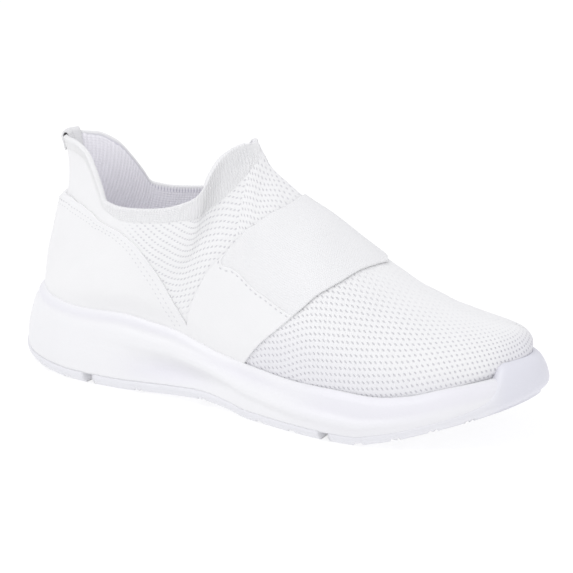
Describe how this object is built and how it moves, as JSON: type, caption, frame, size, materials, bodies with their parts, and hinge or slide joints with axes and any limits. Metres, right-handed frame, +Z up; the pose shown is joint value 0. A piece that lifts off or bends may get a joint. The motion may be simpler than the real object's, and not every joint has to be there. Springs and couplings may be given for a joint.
{
  "type": "slip-on knit sneaker",
  "caption": "White slip-on knit sneaker for the right foot, with a ribbed collar, an elastic strap over the instep, a sculpted foam midsole and a rubber outsole.",
  "frame": {"origin": "centre of the bounding box in plan, on the floor plane under the sole", "axes": "+X from the heel to the toe, +Y towards the inner side of the foot, +Z up"},
  "size_m": [0.278, 0.103, 0.1258],
  "materials": {
    "outsole_rubber": "matt moulded rubber",
    "midsole_foam": "satin moulded foam",
    "insole_fabric": "brushed fabric over foam",
    "knit_white": "knitted yarn with rows of small holes",
    "smooth_overlay": "smooth coated synthetic",
    "elastic_white": "tight smooth elastic",
    "tab_white": "folded woven ribbon"
  },
  "bodies": {
    "root": {"outsole_heel": "outsole_rubber", "outsole_middle": "outsole_rubber", "outsole_front": "outsole_rubber", "midsole": "midsole_foam", "insole": "insole_fabric", "upper": "knit_white", "heel_counter": "smooth_overlay", "strap_band": "elastic_white", "strap_side_outer": "smooth_overlay", "strap_side_inner": "smooth_overlay", "pull_tab": "tab_white"}
  },
  "joints": []
}
